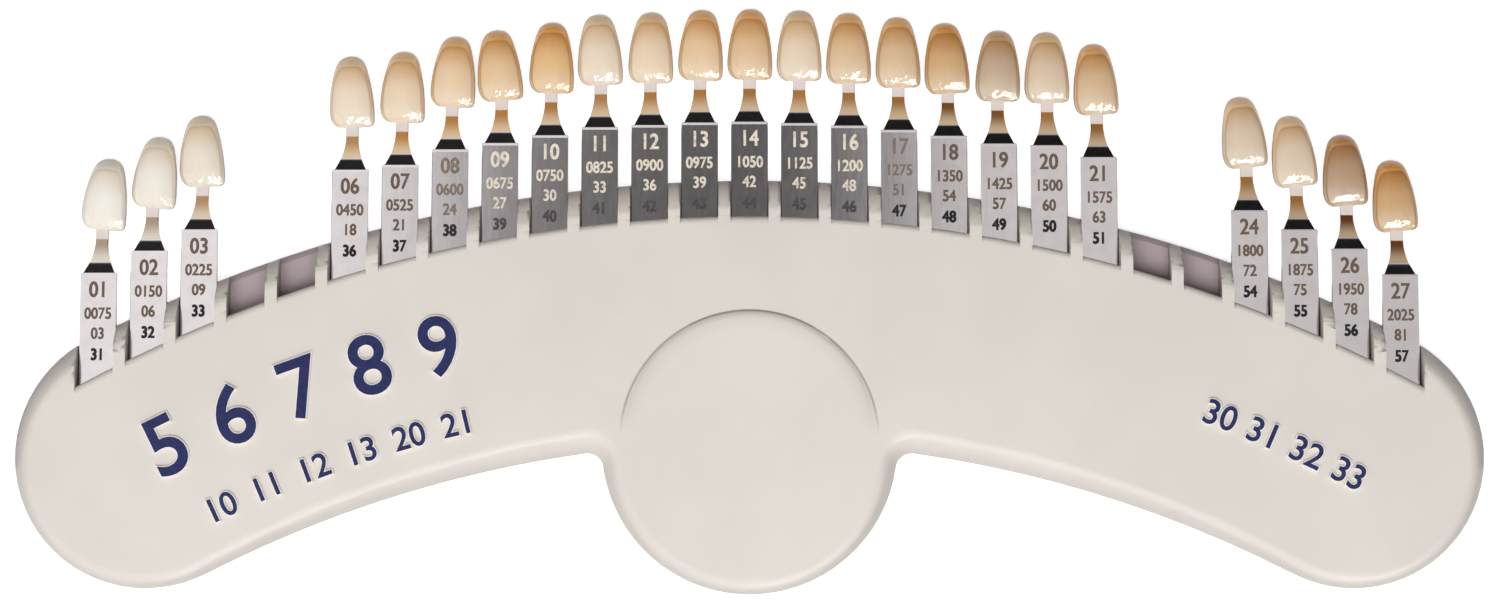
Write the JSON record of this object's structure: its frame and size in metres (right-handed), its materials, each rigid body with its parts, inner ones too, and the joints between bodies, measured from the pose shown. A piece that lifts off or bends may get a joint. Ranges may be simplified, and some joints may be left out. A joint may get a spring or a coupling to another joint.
{
  "type": "dental shade guide",
  "caption": "Arched holder with a row of upright slots and removable steel tabs, each carrying a resin tooth in its own shade, for matching tooth colour.",
  "frame": {"origin": "on the flat back, under the centre of the round thumb pad", "axes": "+X along the arch to the right, +Y towards the teeth, +Z out of the front face"},
  "size_m": [0.277, 0.1119, 0.0108],
  "materials": {
    "holder_plastic": "satin",
    "stem_steel": "brushed",
    "tooth_shade_01": "gloss",
    "tooth_shade_02": "gloss",
    "tooth_shade_03": "gloss",
    "tooth_shade_06": "gloss",
    "tooth_shade_07": "gloss",
    "tooth_shade_08": "gloss",
    "tooth_shade_09": "gloss",
    "tooth_shade_10": "gloss",
    "tooth_shade_11": "gloss",
    "tooth_shade_12": "gloss",
    "tooth_shade_13": "gloss",
    "tooth_shade_14": "gloss",
    "tooth_shade_15": "gloss",
    "tooth_shade_16": "gloss",
    "tooth_shade_17": "gloss",
    "tooth_shade_18": "gloss",
    "tooth_shade_19": "gloss",
    "tooth_shade_20": "gloss",
    "tooth_shade_21": "gloss",
    "tooth_shade_24": "gloss",
    "tooth_shade_25": "gloss",
    "tooth_shade_26": "gloss",
    "tooth_shade_27": "gloss"
  },
  "bodies": {
    "holder": {"holder_front": "holder_plastic", "holder_back": "holder_plastic"},
    "tab_01": {"shade_stem_01": "stem_steel", "shade_tooth_01": "tooth_shade_01"},
    "tab_02": {"shade_stem_02": "stem_steel", "shade_tooth_02": "tooth_shade_02"},
    "tab_03": {"shade_stem_03": "stem_steel", "shade_tooth_03": "tooth_shade_03"},
    "tab_06": {"shade_stem_06": "stem_steel", "shade_tooth_06": "tooth_shade_06"},
    "tab_07": {"shade_stem_07": "stem_steel", "shade_tooth_07": "tooth_shade_07"},
    "tab_08": {"shade_stem_08": "stem_steel", "shade_tooth_08": "tooth_shade_08"},
    "tab_09": {"shade_stem_09": "stem_steel", "shade_tooth_09": "tooth_shade_09"},
    "tab_10": {"shade_stem_10": "stem_steel", "shade_tooth_10": "tooth_shade_10"},
    "tab_11": {"shade_stem_11": "stem_steel", "shade_tooth_11": "tooth_shade_11"},
    "tab_12": {"shade_stem_12": "stem_steel", "shade_tooth_12": "tooth_shade_12"},
    "tab_13": {"shade_stem_13": "stem_steel", "shade_tooth_13": "tooth_shade_13"},
    "tab_14": {"shade_stem_14": "stem_steel", "shade_tooth_14": "tooth_shade_14"},
    "tab_15": {"shade_stem_15": "stem_steel", "shade_tooth_15": "tooth_shade_15"},
    "tab_16": {"shade_stem_16": "stem_steel", "shade_tooth_16": "tooth_shade_16"},
    "tab_17": {"shade_stem_17": "stem_steel", "shade_tooth_17": "tooth_shade_17"},
    "tab_18": {"shade_stem_18": "stem_steel", "shade_tooth_18": "tooth_shade_18"},
    "tab_19": {"shade_stem_19": "stem_steel", "shade_tooth_19": "tooth_shade_19"},
    "tab_20": {"shade_stem_20": "stem_steel", "shade_tooth_20": "tooth_shade_20"},
    "tab_21": {"shade_stem_21": "stem_steel", "shade_tooth_21": "tooth_shade_21"},
    "tab_24": {"shade_stem_24": "stem_steel", "shade_tooth_24": "tooth_shade_24"},
    "tab_25": {"shade_stem_25": "stem_steel", "shade_tooth_25": "tooth_shade_25"},
    "tab_26": {"shade_stem_26": "stem_steel", "shade_tooth_26": "tooth_shade_26"},
    "tab_27": {"shade_stem_27": "stem_steel", "shade_tooth_27": "tooth_shade_27"}
  },
  "joints": [
    {"name": "tab_01_slide", "type": "slide", "parent": "holder", "child": "tab_01", "axis": [0, 1, 0], "range_m": [-0.0003, 0.025]},
    {"name": "tab_02_slide", "type": "slide", "parent": "holder", "child": "tab_02", "axis": [0, 1, 0], "range_m": [0, 0.025]},
    {"name": "tab_03_slide", "type": "slide", "parent": "holder", "child": "tab_03", "axis": [0, 1, 0], "range_m": [0, 0.025]},
    {"name": "tab_06_slide", "type": "slide", "parent": "holder", "child": "tab_06", "axis": [0, 1, 0], "range_m": [-0.0016, 0.025]},
    {"name": "tab_07_slide", "type": "slide", "parent": "holder", "child": "tab_07", "axis": [0, 1, 0], "range_m": [0, 0.025]},
    {"name": "tab_08_slide", "type": "slide", "parent": "holder", "child": "tab_08", "axis": [0, 1, 0], "range_m": [-0.0008, 0.025]},
    {"name": "tab_09_slide", "type": "slide", "parent": "holder", "child": "tab_09", "axis": [0, 1, 0], "range_m": [-0.0002, 0.025]},
    {"name": "tab_10_slide", "type": "slide", "parent": "holder", "child": "tab_10", "axis": [0, 1, 0], "range_m": [-0.0002, 0.025]},
    {"name": "tab_11_slide", "type": "slide", "parent": "holder", "child": "tab_11", "axis": [0, 1, 0], "range_m": [-0.0006, 0.025]},
    {"name": "tab_12_slide", "type": "slide", "parent": "holder", "child": "tab_12", "axis": [0, 1, 0], "range_m": [-0.0002, 0.025]},
    {"name": "tab_13_slide", "type": "slide", "parent": "holder", "child": "tab_13", "axis": [0, 1, 0], "range_m": [-0.0002, 0.025]},
    {"name": "tab_14_slide", "type": "slide", "parent": "holder", "child": "tab_14", "axis": [0, 1, 0], "range_m": [-0.0002, 0.025]},
    {"name": "tab_15_slide", "type": "slide", "parent": "holder", "child": "tab_15", "axis": [0, 1, 0], "range_m": [-0.0001, 0.025]},
    {"name": "tab_16_slide", "type": "slide", "parent": "holder", "child": "tab_16", "axis": [0, 1, 0], "range_m": [-0.0001, 0.025]},
    {"name": "tab_17_slide", "type": "slide", "parent": "holder", "child": "tab_17", "axis": [0, 1, 0], "range_m": [-0.0001, 0.025]},
    {"name": "tab_18_slide", "type": "slide", "parent": "holder", "child": "tab_18", "axis": [0, 1, 0], "range_m": [-0.0001, 0.025]},
    {"name": "tab_19_slide", "type": "slide", "parent": "holder", "child": "tab_19", "axis": [0, 1, 0], "range_m": [-0.0001, 0.025]},
    {"name": "tab_20_slide", "type": "slide", "parent": "holder", "child": "tab_20", "axis": [0, 1, 0], "range_m": [-0.0016, 0.025]},
    {"name": "tab_21_slide", "type": "slide", "parent": "holder", "child": "tab_21", "axis": [0, 1, 0], "range_m": [-0.0015, 0.025]},
    {"name": "tab_24_slide", "type": "slide", "parent": "holder", "child": "tab_24", "axis": [0, 1, 0], "range_m": [0, 0.025]},
    {"name": "tab_25_slide", "type": "slide", "parent": "holder", "child": "tab_25", "axis": [0, 1, 0], "range_m": [0, 0.025]},
    {"name": "tab_26_slide", "type": "slide", "parent": "holder", "child": "tab_26", "axis": [0, 1, 0], "range_m": [-0.0004, 0.025]},
    {"name": "tab_27_slide", "type": "slide", "parent": "holder", "child": "tab_27", "axis": [0, 1, 0], "range_m": [0, 0.025]}
  ]
}
